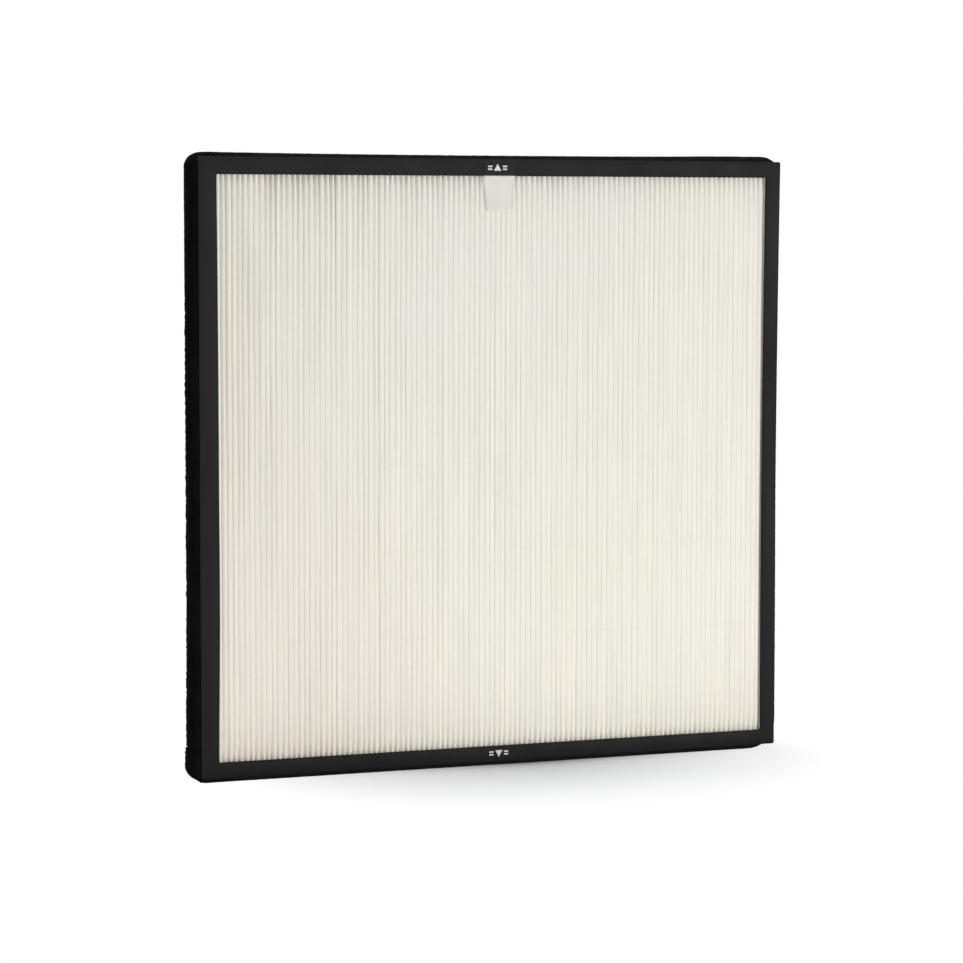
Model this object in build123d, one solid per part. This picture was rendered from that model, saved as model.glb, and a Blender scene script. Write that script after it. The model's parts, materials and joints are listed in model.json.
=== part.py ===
from build123d import *
import os
from math import acos, atan2, cos, floor, hypot, pi, sin

# A pleated air filter panel that stands upright on its lower edge.
# X runs along the width, Y from the front face to the back, Z up.
# The origin is the middle of the panel's width and depth, at the surface it stands on.
# All sizes are millimetres.

# Face frame: the flat black border at the front
FACE_WIDTH = 375.0
FACE_HEIGHT = 370.0
FACE_THICKNESS = 1.2
FACE_BAND = 10.0
FACE_CORNER_RADIUS = 1.2
FACE_EDGE_ROUND = 0.8
FRAME_DEPTH = 26.0

# Tray: the walls and the rear lip that hold the pleated pack
TRAY_WALL = 1.6
TRAY_CORNER_RADIUS = 4.0
TRAY_EDGE_ROUND = 0.7
REAR_LIP_THICKNESS = 1.6
GROOVE_DEPTH = 0.4
GROOVE_CLEARANCE = 0.1

# Foam gasket: one strip wound round the tray, its two ends meeting low on the left side
GASKET_THICKNESS = 6.0
GASKET_PROUD = 2.7
GASKET_REAR_GAP = 0.5
GASKET_RADIUS_TOP_LEFT = 8.5
GASKET_RADIUS_TOP_RIGHT = 15.0
GASKET_RADIUS_LOWER_RIGHT = 22.0
GASKET_RADIUS_LOWER_LEFT = 7.0
GASKET_JOINT_HEIGHT = 18.7
GASKET_JOINT_GAP = 0.6

# Pleated sheet, folded upright, with its two outermost legs flat on the side bands
PLEAT_PITCH = 3.39
SHEET_THICKNESS = 0.4
FOLD_RADIUS = 0.62
PACK_CLEARANCE = 0.5

# Felt bands bonded round the pleated sheet: on the pleats' ends and on the outermost legs
END_BAND_THICKNESS = 1.2
SIDE_BAND_LEAST = 1.6
BAND_CORNER_CLEARANCE = 0.2

# Glue beads: straight strands across the fold tips that keep the pleats apart
BEAD_ROWS = 7
BEAD_WIDTH = 1.2
BEAD_THICKNESS = 0.3
BEAD_END_MARGIN = 14.8

# Pull tab: clear film stuck on the upper border, leaning back over the pleats below it
TAB_THICKNESS = 0.15
TAB_WIDTH = 20.5
TAB_END_WIDTH = 16.5
TAB_CENTRE_X = -0.3
TAB_HANG = 21.0
TAB_TOP_MARGIN = 0.6
TAB_PLEAT_GAP = 0.3
TAB_CORNER_RADIUS = 1.0

# Heights and depths that follow from the sizes above
OVERALL_DEPTH = FRAME_DEPTH + TAB_THICKNESS
MIDDLE_Z = GASKET_PROUD + FACE_HEIGHT / 2
FACE_Y = -OVERALL_DEPTH / 2 + TAB_THICKNESS
FACE_BACK_Y = FACE_Y + FACE_THICKNESS
REAR_Y = OVERALL_DEPTH / 2
LIP_FRONT_Y = REAR_Y - REAR_LIP_THICKNESS
OPENING_WIDTH = FACE_WIDTH - 2 * FACE_BAND
OPENING_HEIGHT = FACE_HEIGHT - 2 * FACE_BAND

# Tray: the gasket fills the step between its walls and the edge of the overhanging face
FACE_OVERHANG = GASKET_THICKNESS - GASKET_PROUD
TRAY_WIDTH = FACE_WIDTH - 2 * FACE_OVERHANG
TRAY_HEIGHT = FACE_HEIGHT - 2 * FACE_OVERHANG
TRAY_FRONT_Y = FACE_BACK_Y - GROOVE_DEPTH
INNER_WIDTH = TRAY_WIDTH - 2 * TRAY_WALL
INNER_HEIGHT = TRAY_HEIGHT - 2 * TRAY_WALL
INNER_RADIUS = TRAY_CORNER_RADIUS - TRAY_WALL

# Pleats: as many as fit between the side bands
OUTER_FOLD = FOLD_RADIUS + SHEET_THICKNESS / 2
INNER_FOLD = FOLD_RADIUS - SHEET_THICKNESS / 2
FRONT_TIPS_Y = FACE_BACK_Y + PACK_CLEARANCE
REAR_TIPS_Y = LIP_FRONT_Y - PACK_CLEARANCE
FRONT_FOLD_Y = FRONT_TIPS_Y + OUTER_FOLD
REAR_FOLD_Y = REAR_TIPS_Y - OUTER_FOLD
FOLD_RISE = REAR_FOLD_Y - FRONT_FOLD_Y
PLEAT_COUNT = floor((INNER_WIDTH - 2 * SIDE_BAND_LEAST - 2 * OUTER_FOLD) / PLEAT_PITCH) + 1
PACK_WIDTH = (PLEAT_COUNT - 1) * PLEAT_PITCH + 2 * OUTER_FOLD
SHEET_HEIGHT = INNER_HEIGHT - 2 * END_BAND_THICKNESS
LEG_SPAN = hypot(PLEAT_PITCH / 2, FOLD_RISE)
LEG_LEAN = atan2(FOLD_RISE, PLEAT_PITCH / 2) - acos(2 * FOLD_RADIUS / LEG_SPAN)


def fold_x(index):
    """X of front fold number index, counted from the left; half numbers are rear folds."""
    return (index - (PLEAT_COUNT - 1) / 2) * PLEAT_PITCH


def front_fold_point(index, radius, side):
    """Where a leg leaves a front fold: side is 1 to its right and -1 to its left."""
    lean = LEG_LEAN
    if index + side < 0 or index + side > PLEAT_COUNT - 1:
        lean = 0
    return Vector(fold_x(index) + side * radius * cos(lean), FRONT_FOLD_Y + radius * sin(lean))


def rear_fold_point(index, radius, side):
    """Where a leg leaves a rear fold, or where the sheet ends beside the outermost fold."""
    if index < 0 or index > PLEAT_COUNT - 1:
        outermost = 0 if index < 0 else PLEAT_COUNT - 1
        reach = OUTER_FOLD + INNER_FOLD - radius
        return Vector(fold_x(outermost) - side * reach, REAR_FOLD_Y)
    return Vector(fold_x(index) + side * radius * cos(LEG_LEAN), REAR_FOLD_Y - radius * sin(LEG_LEAN))


def sheet_surface(front_radius, rear_radius):
    """Edges of one surface of the folded sheet, in the XY plane, from left to right."""
    edges = []
    point = rear_fold_point(-0.5, rear_radius, 1)
    for index in range(PLEAT_COUNT):
        left = front_fold_point(index, front_radius, -1)
        tip = Vector(fold_x(index), FRONT_FOLD_Y - front_radius)
        right = front_fold_point(index, front_radius, 1)
        edges.append(Edge.make_line(point, left))
        edges.append(Edge.make_three_point_arc(left, tip, right))
        point = rear_fold_point(index + 0.5, rear_radius, -1)
        edges.append(Edge.make_line(right, point))
        if index < PLEAT_COUNT - 1:
            end = rear_fold_point(index + 0.5, rear_radius, 1)
            tip = Vector(fold_x(index + 0.5), REAR_FOLD_Y + rear_radius)
            edges.append(Edge.make_three_point_arc(point, tip, end))
            point = end
    return edges


def make_pleated_sheet():
    """The filter sheet: one folded section, as tall as the space between the end bands."""
    front = sheet_surface(OUTER_FOLD, INNER_FOLD)
    rear = sheet_surface(INNER_FOLD, OUTER_FOLD)
    left_end = Edge.make_line(rear[0] @ 0, front[0] @ 0)
    right_end = Edge.make_line(front[-1] @ 1, rear[-1] @ 1)
    section = Face(Wire(front + [right_end] + rear + [left_end]))
    return Pos(0, 0, MIDDLE_Z - SHEET_HEIGHT / 2) * Solid.extrude(section, Vector(0, 0, SHEET_HEIGHT))


def box_between(x0, x1, y0, y1, z0, z1):
    """A box given by its limits along each axis."""
    corner = (Align.MIN, Align.MIN, Align.MIN)
    return Pos(x0, y0, z0) * Box(x1 - x0, y1 - y0, z1 - z0, align=corner)


def upright_block(width, height, radius, y0, y1):
    """A block centred on the panel, with rounded corners, between two depths."""
    plane = Plane((0, y1, MIDDLE_Z), x_dir=(1, 0, 0), z_dir=(0, -1, 0))
    outline = RectangleRounded(width, height, radius) if radius > 0 else Rectangle(width, height)
    return extrude(plane * outline, amount=y1 - y0)


def round_rim(block, y, radius):
    """Round the outer edges of a block where it ends at one depth."""
    return fillet(block.edges().filter_by_position(Axis.Y, y, y), radius)


def make_face_frame():
    """Flat border with a rounded outer edge, and a shallow groove behind for the tray's rim."""
    plate = upright_block(FACE_WIDTH, FACE_HEIGHT, FACE_CORNER_RADIUS, FACE_Y, FACE_BACK_Y)
    plate = round_rim(plate, FACE_Y, FACE_EDGE_ROUND)
    opening = upright_block(OPENING_WIDTH, OPENING_HEIGHT, 0, FACE_Y - 1, FACE_BACK_Y + 1)
    slack = GROOVE_CLEARANCE
    outer_size = (TRAY_WIDTH + 2 * slack, TRAY_HEIGHT + 2 * slack, TRAY_CORNER_RADIUS + slack)
    inner_size = (INNER_WIDTH - 2 * slack, INNER_HEIGHT - 2 * slack, INNER_RADIUS - slack)
    groove = upright_block(*outer_size, TRAY_FRONT_Y, FACE_BACK_Y + 1)
    groove -= upright_block(*inner_size, TRAY_FRONT_Y, FACE_BACK_Y + 1)
    return plate - opening - groove


def make_tray():
    """Four walls with rounded corners and a lip at the rear, open at the front."""
    block = upright_block(TRAY_WIDTH, TRAY_HEIGHT, TRAY_CORNER_RADIUS, TRAY_FRONT_Y, REAR_Y)
    block = round_rim(block, REAR_Y, TRAY_EDGE_ROUND)
    cavity = upright_block(INNER_WIDTH, INNER_HEIGHT, INNER_RADIUS, TRAY_FRONT_Y - 1, LIP_FRONT_Y)
    rear_opening = upright_block(OPENING_WIDTH, OPENING_HEIGHT, 0, LIP_FRONT_Y - 1, REAR_Y + 1)
    return block - cavity - rear_opening


def corner_arc(centre_x, centre_z, radius, start_angle):
    """Quarter circle of the gasket's outer face, in the panel's upright plane."""
    points = []
    for turn in (0, pi / 4, pi / 2):
        angle = start_angle + turn
        points.append(Vector(centre_x + radius * cos(angle), FACE_BACK_Y, centre_z + radius * sin(angle)))
    return Edge.make_three_point_arc(*points)


def make_gasket():
    """Foam strip round the tray, thinner where it is stretched over a corner."""
    half_width = FACE_WIDTH / 2 + GASKET_PROUD
    half_height = FACE_HEIGHT / 2 + GASKET_PROUD
    back_y = REAR_Y - GASKET_REAR_GAP
    corners = [
        (1, 1, GASKET_RADIUS_TOP_RIGHT),
        (-1, 1, GASKET_RADIUS_TOP_LEFT),
        (-1, -1, GASKET_RADIUS_LOWER_LEFT),
        (1, -1, GASKET_RADIUS_LOWER_RIGHT),
    ]
    arcs = []
    for quarter, (side, level, radius) in enumerate(corners):
        centre_x = side * (half_width - radius)
        centre_z = MIDDLE_Z + level * (half_height - radius)
        arcs.append(corner_arc(centre_x, centre_z, radius, quarter * pi / 2))
    straights = [Edge.make_line(arcs[i] @ 1, arcs[(i + 1) % 4] @ 0) for i in range(4)]
    block = Solid.extrude(Face(Wire(arcs + straights)), Vector(0, back_y - FACE_BACK_Y, 0))
    core = upright_block(TRAY_WIDTH, TRAY_HEIGHT, TRAY_CORNER_RADIUS, FACE_BACK_Y - 1, back_y + 1)
    joint_low = GASKET_JOINT_HEIGHT - GASKET_JOINT_GAP / 2
    joint = box_between(
        -half_width - 1, -TRAY_WIDTH / 2 + 1,
        FACE_BACK_Y - 1, back_y + 1,
        joint_low, joint_low + GASKET_JOINT_GAP,
    )
    return block - core - joint


def make_end_band(level):
    """Felt strip between the pleats' ends and the tray's wall: level is 1 at the top."""
    wall_z = MIDDLE_Z + level * INNER_HEIGHT / 2
    sheet_z = MIDDLE_Z + level * SHEET_HEIGHT / 2
    half_width = INNER_WIDTH / 2 - INNER_RADIUS - BAND_CORNER_CLEARANCE
    low, high = min(wall_z, sheet_z), max(wall_z, sheet_z)
    return box_between(-half_width, half_width, FRONT_TIPS_Y, REAR_TIPS_Y, low, high)


def make_side_band(side):
    """Felt strip between the outermost leg and the tray's wall: side is 1 at the right."""
    wall_x = side * INNER_WIDTH / 2
    pack_x = side * PACK_WIDTH / 2
    half_height = INNER_HEIGHT / 2 - INNER_RADIUS - BAND_CORNER_CLEARANCE
    left, right = min(wall_x, pack_x), max(wall_x, pack_x)
    low, high = MIDDLE_Z - half_height, MIDDLE_Z + half_height
    return box_between(left, right, FRONT_TIPS_Y, REAR_TIPS_Y, low, high)


def make_bead(tips_y, outward, row):
    """One strand of glue across all the fold tips of one side: outward is -1 at the front."""
    spacing = (OPENING_HEIGHT - 2 * BEAD_END_MARGIN) / (BEAD_ROWS - 1)
    top_z = MIDDLE_Z + OPENING_HEIGHT / 2 - BEAD_END_MARGIN
    z = top_z - row * spacing
    half_length = fold_x(PLEAT_COUNT - 1)
    face_y = tips_y + outward * BEAD_THICKNESS
    near, far = min(tips_y, face_y), max(tips_y, face_y)
    return box_between(-half_length, half_length, near, far, z - BEAD_WIDTH / 2, z + BEAD_WIDTH / 2)


def make_pull_tab():
    """Film that lies on the upper border, bends at the opening and leans back to the pleats."""
    top_z = MIDDLE_Z + FACE_HEIGHT / 2 - TAB_TOP_MARGIN
    bend_z = MIDDLE_Z + OPENING_HEIGHT / 2
    end_z = bend_z - TAB_HANG
    end_y = FRONT_TIPS_Y - TAB_PLEAT_GAP
    back = [Vector(0, FACE_Y, top_z), Vector(0, FACE_Y, bend_z), Vector(0, end_y, end_z)]
    front = [point - Vector(0, TAB_THICKNESS, 0) for point in reversed(back)]
    strip = Solid.extrude(Face(Wire.make_polygon(back + front)), Vector(TAB_WIDTH, 0, 0))
    strip = Pos(TAB_CENTRE_X - TAB_WIDTH / 2, 0, 0) * strip
    half_outline = [(TAB_WIDTH / 2, top_z), (TAB_WIDTH / 2, bend_z), (TAB_END_WIDTH / 2, end_z)]
    right = [Vector(TAB_CENTRE_X + x, -OVERALL_DEPTH, z) for x, z in half_outline]
    left = [Vector(TAB_CENTRE_X - x, -OVERALL_DEPTH, z) for x, z in reversed(half_outline)]
    cutter = Solid.extrude(Face(Wire.make_polygon(right + left)), Vector(0, 2 * OVERALL_DEPTH, 0))
    film = strip & cutter
    lower_corners = [
        edge for edge in film.edges() if edge.center().Z < end_z + 1 and edge.length < 2 * TAB_THICKNESS
    ]
    return fillet(lower_corners, TAB_CORNER_RADIUS)


def main():
    os.makedirs("parts", exist_ok=True)
    nodes = {
        "face_frame": make_face_frame(),
        "tray": make_tray(),
        "foam_gasket": make_gasket(),
        "pleated_sheet": make_pleated_sheet(),
        "top_edge_band": make_end_band(1),
        "bottom_edge_band": make_end_band(-1),
        "left_edge_band": make_side_band(-1),
        "right_edge_band": make_side_band(1),
        "pull_tab": make_pull_tab(),
    }
    for row in range(BEAD_ROWS):
        nodes[f"front_glue_bead_{row + 1}"] = make_bead(FRONT_TIPS_Y, -1, row)
        nodes[f"rear_glue_bead_{row + 1}"] = make_bead(REAR_TIPS_Y, 1, row)
    for name, shape in nodes.items():
        export_step(shape, f"parts/{name}.step")


main()
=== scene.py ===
import json
import math

import bpy
import numpy as np
from mathutils import Matrix, Vector


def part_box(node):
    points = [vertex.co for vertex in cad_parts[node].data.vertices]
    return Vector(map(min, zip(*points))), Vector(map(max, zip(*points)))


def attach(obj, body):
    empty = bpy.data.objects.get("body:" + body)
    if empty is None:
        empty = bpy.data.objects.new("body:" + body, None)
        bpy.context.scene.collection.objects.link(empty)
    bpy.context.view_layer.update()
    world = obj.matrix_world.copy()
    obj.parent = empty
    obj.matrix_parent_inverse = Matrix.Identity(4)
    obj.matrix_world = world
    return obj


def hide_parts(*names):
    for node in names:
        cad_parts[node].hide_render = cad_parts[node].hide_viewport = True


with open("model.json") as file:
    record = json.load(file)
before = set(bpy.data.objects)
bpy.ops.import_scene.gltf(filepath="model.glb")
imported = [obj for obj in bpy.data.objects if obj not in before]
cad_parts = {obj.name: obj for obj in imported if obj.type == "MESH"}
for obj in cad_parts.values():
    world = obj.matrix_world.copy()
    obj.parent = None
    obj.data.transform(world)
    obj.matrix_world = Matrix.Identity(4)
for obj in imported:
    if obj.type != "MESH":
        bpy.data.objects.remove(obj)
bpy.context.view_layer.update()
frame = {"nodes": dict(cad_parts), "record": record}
random = np.random.default_rng(7)
MM = 0.001

# Camera, fitted to the corners of the opening and the border in the photograph
CAMERA_PLACE = Vector((-650.7, -1755.55, 337.42)) * MM
CAMERA_YAW = math.radians(20.158)
CAMERA_PITCH = math.radians(4.961)
CAMERA_ROLL = math.radians(0.1)
CAMERA_LENS = 113.877
CAMERA_SENSOR = 36.0
CAMERA_NEAR, CAMERA_FAR = 0.05, 50

# Places taken from the frame
FACE_LOW, FACE_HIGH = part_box("face_frame")
SHEET_LOW, SHEET_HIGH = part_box("pleated_sheet")
GASKET_LOW, GASKET_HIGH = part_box("foam_gasket")
TRAY_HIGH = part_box("tray")[1]
TAB_LOW, TAB_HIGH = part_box("pull_tab")
MIDDLE_Z = (FACE_LOW.z + FACE_HIGH.z) / 2
FACE_BAND = 10.0 * MM
OPENING_HALF_HEIGHT = FACE_HIGH.z - MIDDLE_Z - FACE_BAND
FOAM_THICKNESS = GASKET_HIGH.x - TRAY_HIGH.x

# The opening's upper and lower edges, each a little lower than in the frame
TOP_EDGE = MIDDLE_Z + OPENING_HALF_HEIGHT - 0.4 * MM
LOWER_EDGE = MIDDLE_Z - OPENING_HALF_HEIGHT - 0.6 * MM

# Pleated sheet
OUTER_FOLD = 0.82 * MM
SHEET_THICKNESS = 0.4 * MM
PLEAT_COUNT = 107
PLEAT_PITCH = (SHEET_HIGH.x - SHEET_LOW.x - 2 * OUTER_FOLD) / (PLEAT_COUNT - 1)
CREST_STEPS = 8
HOLLOW_STEPS = 3
END_ROWS = (0, 2, 4, 5.5, 7.5, 10, 14, 20, 29)  # distances in mm from either end
MIDDLE_ROWS = 17
MIDDLE_ROWS_FROM = 42 * MM

# Strands of glue
BEAD_ROWS = 7
STRAND_RADIUS = 0.09 * MM
STRAND_SIDES = 5
STRAND_STEPS = 4
STRAND_WAVER = 0.25 * MM
STRAND_WAVER_FOLDS = 12
STRAND_LIFT = 0.15
STRAND_LEAST_STEP = 0.05 * MM

# Foam strip: its joint, section and corners
JOINT_HEIGHT = 18.7 * MM
JOINT_HALF_GAP = 0.05 * MM
FOAM_STEP = 1.0 * MM
FOAM_FRONT_ROUND = 3.2 * MM
FOAM_LOWER_ROUND = 1.6 * MM
FOAM_REAR_ROUND = 2.2 * MM
FOAM_INNER_MARGIN = 0.3 * MM
FOAM_FLAT_MARGIN = 0.8 * MM
FOAM_BELLY = 0.25 * MM
FOAM_BELLY_SHARES = (0.12, 0.3, 0.5, 0.7, 0.88)
CORNER_TOP_LEFT = 8.5 * MM
CORNER_TOP_RIGHT = 12.5 * MM
CORNER_LOWER_RIGHT = 18.2 * MM
CORNER_LOWER_LEFT = 6.5 * MM

# Foam strip: how its line bulges and sags; amounts, heights and reaches in mm
BULGE_LEFT = 0.83
BULGE_LOW_LEFT, LOW_LEFT_HEIGHT, LOW_LEFT_REACH = 0.65, 25, 55
BULGE_UNDER_JOINT = 2.4
BULGE_RIGHT = 0.1
DENT_RIGHT, DENT_HEIGHT, DENT_REACH = 0.95, 205, 115
SAG_DEPTH = 0.78
SAG_CENTRE = -25 * MM
SAG_LEFT, SAG_LEFT_POWER = 160 * MM, 2
SAG_RIGHT, SAG_RIGHT_POWER = 170 * MM, 3
BULGE_SMOOTHING = 7

# Foam strip: rough surface, and the cut ends at the joint
ROUGH_CUT = 0.17 * MM
ROUGH_MOULDED = 0.05 * MM
ROUGH_SPREAD = 1.7
ROUGH_BELOW = 290 * MM
UPPER_END_NOTCH = 2.0 * MM
UPPER_END_NOTCH_FROM = 2 * MM
LOWER_END_INSET = 0.6 * MM
LOWER_END_ROWS = 3

# Face ring; the bows are in mm, at the lower end, in the middle and at the upper end
SIDE_POINTS = 24
CORNER_POINTS = 5
FACE_ROUND = 0.3 * MM
INNER_ROUND = 0.35 * MM
FACE_CORNER = 1.2 * MM
INNER_CORNER = 0.3 * MM
OUTER_LEFT_SHIFT = 0.8 * MM
OUTER_RIGHT_BOW = (0.9, 0.3, 1.4)
OUTER_TOP_SLOPE = 0.5
INNER_LEFT_BOW = (-0.1, 0.85, 0.25)
INNER_LEFT_BUMP, BUMP_AT, BUMP_REACH = 0.45, 0.25, 0.15
INNER_RIGHT_BOW = (1.2, 0.75, 1.45)

# Film tab
FILM_THICKNESS = 0.05 * MM
FILM_END_Y = SHEET_LOW.y - 0.1 * MM
FILM_SETTLE, FILM_SETTLE_POWER = 1.4 * MM, 1.3
FILM_HANG = 21 * MM
FILM_COLUMNS = 9
FILM_STUCK_ROWS = 5
FILM_STUCK_MARGIN = 0.3 * MM
FILM_STUCK_SHIFT = 1.0 * MM
FILM_HANGING_ROWS = (0.3, 0.7, 1.2, 2, 3, 5.5, 8, 12, 16, 19.5, 20.6, 21)  # mm under the edge
FILM_LEFT_SHIFT, FILM_LEFT_TAPER = 0.3 * MM, 2.2 * MM
FILM_RIGHT_SHIFT, FILM_RIGHT_TAPER = 0.6 * MM, 0.9 * MM
FILM_ROUND_FROM, FILM_ROUND_REACH = 19 * MM, 4 * MM
RIPPLE_HEIGHT = 0.03 * MM
RIPPLE_ACROSS = 1.7
RIPPLE_DOWN = 4 * MM
RIPPLE_FADE = 5 * MM
FILM_EDGE_FADE = 0.4 * MM

# Printed marks: each has its centre and the way it points
INK_THICKNESS = 0.04 * MM
INK_SINK = 0.02 * MM
MARK_HEIGHT = 4.2 * MM
MARK_HALF_WIDTH = 2.3 * MM
BAR_NEAR, BAR_FAR = 3.4 * MM, 6.2 * MM
BAR_LEVELS = (-1.2 * MM, 0.5 * MM)
BAR_HALF_HEIGHT = 0.45 * MM
MARK_CENTRES = ((-0.9 * MM, 179.9 * MM, 1), (0.7 * MM, -180.4 * MM, -1))

# Looks: colours in linear light; the tables give a place and the tone there
NOISE_SPAN = (0.3, 0.7)
MIX_FACTOR, MIX_FIRST, MIX_SECOND, MIX_RESULT = 0, 6, 7, 2
WHITE = (1.0, 1.0, 1.0)
PLASTIC_LEVEL = 0.0105
# Painted shade on the foam's left side by depth, front to rear: darkest a third of the way back,
# painted highlights at the shoulders
FOAM_LEFT_SHADE_BY_DEPTH = (
    (0.0, 0.55), (0.12, 0.45), (0.3, 0.42), (0.5, 0.44), (0.62, 0.54), (0.8, 0.8), (1.0, 0.9),
)
FOAM_REST_BY_DEPTH = ((0.0, 0.9), (0.25, 1.0))
FOAM_LEFT_UNTIL, FOAM_REST_FROM = GASKET_LOW.x + 4 * MM, GASKET_LOW.x + 40 * MM
FOAM_CELLS_PER_METRE = 1500
# Painted shade and light on the sheet by height: lightest at the bottom, darker and a little cooler
# towards the top
SHEET_SHADE_BY_HEIGHT = (
    (0.0, (1.0, 0.992, 0.997)), (0.045, (1.0, 0.993, 0.99)), (0.13, (0.932, 0.928, 0.922)),
    (0.19, (0.904, 0.902, 0.897)), (0.335, (0.873, 0.876, 0.874)),
    (0.355, (0.845, 0.847, 0.855)), (0.375, (0.825, 0.827, 0.857)),
)
# Painted shade on the sheet towards its left, along a slant
SHEET_SLANT = 0.45
SHEET_LEFT_FROM, SHEET_LEFT_UNTIL = -0.135, 0.03
SHEET_LEFT_SHADE = (0.937, 0.914, 0.91)
FILM_COVER_FREE, FILM_COVER_STUCK = 0.55, 0.003

# Surroundings; a lamp has its name, place, target, size and power
FLOOR_REACH = 6.0
FLOOR_COLOUR = (0.86, 0.89, 0.935, 1)
FLOOR_GLOW = 0.02
SHADOW_CENTRE_X = 0.025
SHADOW_REACH_X = 0.19
SHADOW_REACH_Y = 0.165
SHADOW_FADE_FROM = 0.05
WORLD_LIGHT = 0.23
LAMPS = (
    ("key", (1.1, -2.0, 0.3), (0, 0, 0.2), 0.55, 27.3),
    ("fill", (-0.7, -2.3, 0.35), (0, 0, 0.2), 0.6, 5.4),
    ("top", (-0.3, 0.5, 1.7), (0, 0, 0), 0.9, 37),
)


def new_object(name, points, faces, smooth=True):
    """A mesh object from arrays of points and faces."""
    mesh = bpy.data.meshes.new(name)
    mesh.from_pydata(np.asarray(points).tolist(), [], [tuple(f) for f in faces])
    mesh.update()
    mesh.polygons.foreach_set("use_smooth", [smooth] * len(mesh.polygons))
    piece = bpy.data.objects.new(name, mesh)
    bpy.context.scene.collection.objects.link(piece)
    return piece


def grid_faces(rows, columns, closed_rows=False, closed_columns=False):
    """Quads that join a grid of points, given row by row."""
    faces = []
    for i in range(rows if closed_rows else rows - 1):
        for j in range(columns if closed_columns else columns - 1):
            here = i * columns
            there = (i + 1) % rows * columns
            across = (j + 1) % columns
            faces.append((here + j, here + across, there + across, there + j))
    return faces


def smooth_noise(count, spacing, amount):
    """A smooth random curve of count points, from random values about spacing points apart."""
    knots = max(4, int(count / spacing) + 3)
    values = random.normal(0, 1, knots)
    at = np.linspace(0, knots - 1, count)
    low = np.minimum(at.astype(int), knots - 2)
    share = at - low
    share = share * share * (3 - 2 * share)
    return amount * (values[low] * (1 - share) + values[low + 1] * share)


class Finish:
    """A node material with one principled shader and a chain of bumps."""

    def __init__(self, name, colour, roughness, **constants):
        self.material = bpy.data.materials.new(name)
        self.material.use_nodes = True
        self.tree = self.material.node_tree
        self.tree.nodes.clear()
        self.output = self.add("ShaderNodeOutputMaterial")
        self.shader = self.add("ShaderNodeBsdfPrincipled")
        self.join(self.shader, "BSDF", self.output, "Surface")
        self.shader.inputs["Base Color"].default_value = (*colour, 1)
        self.shader.inputs["Roughness"].default_value = roughness
        for key, value in constants.items():
            self.shader.inputs[key.replace("_", " ")].default_value = value
        self.coordinates = self.add("ShaderNodeTexCoord")
        self.bump = None

    def add(self, kind, **settings):
        node = self.tree.nodes.new(kind)
        for key, value in settings.items():
            setattr(node, key, value)
        return node

    def join(self, source, output, target, entry):
        self.tree.links.new(source.outputs[output], target.inputs[entry])

    def scaled_place(self, scale):
        """Object coordinates, stretched by a factor for each axis."""
        mapping = self.add("ShaderNodeMapping")
        mapping.inputs["Scale"].default_value = scale
        self.join(self.coordinates, "Object", mapping, "Vector")
        return mapping

    def place_parts(self):
        """The X, Y and Z of the object coordinates."""
        node = self.add("ShaderNodeSeparateXYZ")
        self.join(self.coordinates, "Object", node, "Vector")
        return node

    def noise(self, scale, detail, roughness=0.5):
        """Noise whose grain is given as a scale for each axis, in cells per metre."""
        node = self.add("ShaderNodeTexNoise")
        node.inputs["Scale"].default_value = 1.0
        node.inputs["Detail"].default_value = detail
        node.inputs["Roughness"].default_value = roughness
        self.join(self.scaled_place(scale), "Vector", node, "Vector")
        return node

    def ramp(self, source, output, stops):
        """Colour that goes through the colours of several stops, each a value and a colour."""
        node = self.add("ShaderNodeValToRGB")
        (low, low_colour), *between, (high, high_colour) = stops
        node.color_ramp.elements[0].position = low
        node.color_ramp.elements[1].position = high
        node.color_ramp.elements[0].color = (*low_colour, 1)
        node.color_ramp.elements[1].color = (*high_colour, 1)
        for position, colour in between:
            stop = node.color_ramp.elements.new(position)
            stop.color = (*colour, 1)
        self.join(source, output, node, "Fac")
        return node

    def noise_ramp(self, source, low_colour, high_colour, span=NOISE_SPAN):
        """Colour that goes from one to another with a noise."""
        return self.ramp(source, "Fac", ((span[0], low_colour), (span[1], high_colour)))

    def levels(self, source, output, low, high, to_low, to_high):
        """A number stretched from one range to another."""
        node = self.add("ShaderNodeMapRange")
        node.inputs["From Min"].default_value = low
        node.inputs["From Max"].default_value = high
        node.inputs["To Min"].default_value = to_low
        node.inputs["To Max"].default_value = to_high
        self.join(source, output, node, "Value")
        return node

    def mixed(self, factor, first, second):
        """Two colours mixed by a number that comes from another node."""
        node = self.add("ShaderNodeMix", data_type="RGBA")
        self.tree.links.new(factor, node.inputs[MIX_FACTOR])
        self.tree.links.new(first, node.inputs[MIX_FIRST])
        self.tree.links.new(second, node.inputs[MIX_SECOND])
        return node.outputs[MIX_RESULT]

    def multiplied(self, first, second):
        """Two colours multiplied."""
        node = self.add("ShaderNodeMix", data_type="RGBA", blend_type="MULTIPLY")
        node.inputs[MIX_FACTOR].default_value = 1.0
        self.tree.links.new(first, node.inputs[MIX_FIRST])
        self.tree.links.new(second, node.inputs[MIX_SECOND])
        return node.outputs[MIX_RESULT]

    def set_colour(self, colour):
        self.tree.links.new(colour, self.shader.inputs["Base Color"])

    def add_bump(self, source, output, distance, strength):
        """One more layer of bump, of a depth in metres."""
        node = self.add("ShaderNodeBump")
        node.inputs["Distance"].default_value = distance
        node.inputs["Strength"].default_value = strength
        self.join(source, output, node, "Height")
        if self.bump:
            self.join(self.bump, "Normal", node, "Normal")
        self.bump = node
        self.join(node, "Normal", self.shader, "Normal")


def grey(level, warmth=0.0):
    """A grey in linear light, a little warmer or cooler."""
    return (level * (1 + warmth), level, level * (1 - warmth))


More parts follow.
